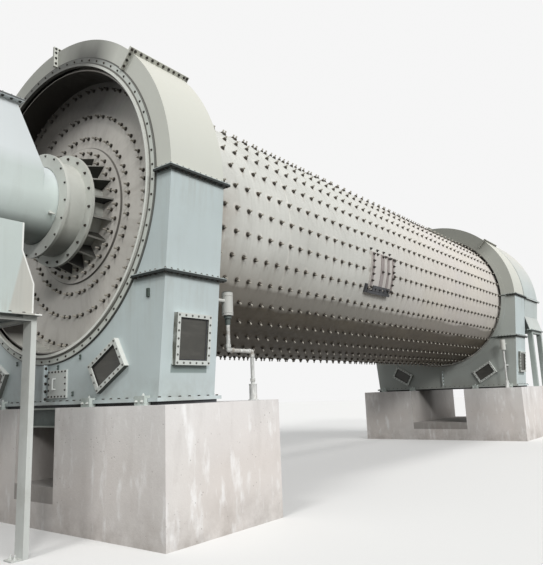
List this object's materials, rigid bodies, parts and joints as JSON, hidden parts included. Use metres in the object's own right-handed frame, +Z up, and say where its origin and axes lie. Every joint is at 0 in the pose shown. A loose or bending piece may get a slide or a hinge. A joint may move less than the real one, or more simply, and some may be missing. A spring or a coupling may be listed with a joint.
{
  "type": "ball mill",
  "caption": "Tube ball mill: a bolted steel drum turning on slide shoes inside two arch-topped sheet casings on concrete piers, fed by a chute and emptied through a hood.",
  "frame": {"origin": "on the floor under the middle of the feed bearing, on the mill axis", "axes": "+X along the mill axis from the feed end to the discharge end, +Z up"},
  "size_m": [18.667, 4.8194, 6.34],
  "materials": {
    "shell_paint": "satin",
    "door_paint": "satin",
    "ring_steel": "satin",
    "head_paint": "matte",
    "neck_paint": "satin",
    "rib_paint": "matte",
    "tube_paint": "satin",
    "casing_paint": "satin",
    "seal_paint": "satin",
    "frame_paint": "satin",
    "pane_dark": "gloss",
    "shoe_steel": "satin",
    "pedestal_paint": "matte",
    "sole_paint": "matte",
    "concrete": "matte",
    "beam_paint": "matte",
    "vent_paint": "satin",
    "chute_paint": "satin",
    "box_paint": "satin",
    "steelwork_paint": "satin",
    "hood_paint": "satin"
  },
  "bodies": {
    "plant": {"feed_casing_base": "casing_paint", "feed_casing_near_side": "casing_paint", "feed_casing_far_side": "casing_paint", "feed_casing_near_haunch": "casing_paint", "feed_casing_far_haunch": "casing_paint", "feed_casing_crown": "casing_paint", "feed_seal_ring": "seal_paint", "feed_window_frames": "frame_paint", "feed_window_panes": "pane_dark", "feed_drain_cover": "frame_paint", "feed_slide_shoes": "shoe_steel", "feed_shoe_pedestals": "pedestal_paint", "feed_sole_frame": "sole_paint", "feed_pier": "concrete", "feed_cross_beams": "beam_paint", "feed_vent_canister": "vent_paint", "discharge_casing_base": "casing_paint", "discharge_casing_near_side": "casing_paint", "discharge_casing_far_side": "casing_paint", "discharge_casing_near_haunch": "casing_paint", "discharge_casing_far_haunch": "casing_paint", "discharge_casing_crown": "casing_paint", "discharge_window_frames": "frame_paint", "discharge_window_panes": "pane_dark", "discharge_slide_shoes": "shoe_steel", "discharge_shoe_pedestals": "pedestal_paint", "discharge_sole_frame": "sole_paint", "discharge_pier": "concrete", "discharge_vent_canister": "vent_paint", "feed_chute": "chute_paint", "feed_box": "box_paint", "feed_support_frame": "steelwork_paint", "discharge_hood_arch": "hood_paint", "discharge_hood_skirt": "hood_paint", "discharge_hood_trestle": "steelwork_paint", "hood_seal_ring": "seal_paint"},
    "mill": {"mill_shell": "shell_paint", "manhole_cover": "door_paint", "feed_slide_ring": "ring_steel", "discharge_slide_ring": "ring_steel", "feed_head": "head_paint", "discharge_head": "head_paint", "feed_neck": "neck_paint", "feed_neck_ribs": "rib_paint", "torque_tube": "tube_paint"}
  },
  "joints": [
    {"name": "mill_rotation", "type": "hinge", "parent": "plant", "child": "mill", "pos_m": [0, 0, 3.98], "axis": [1, 0, 0], "continuous": true}
  ]
}
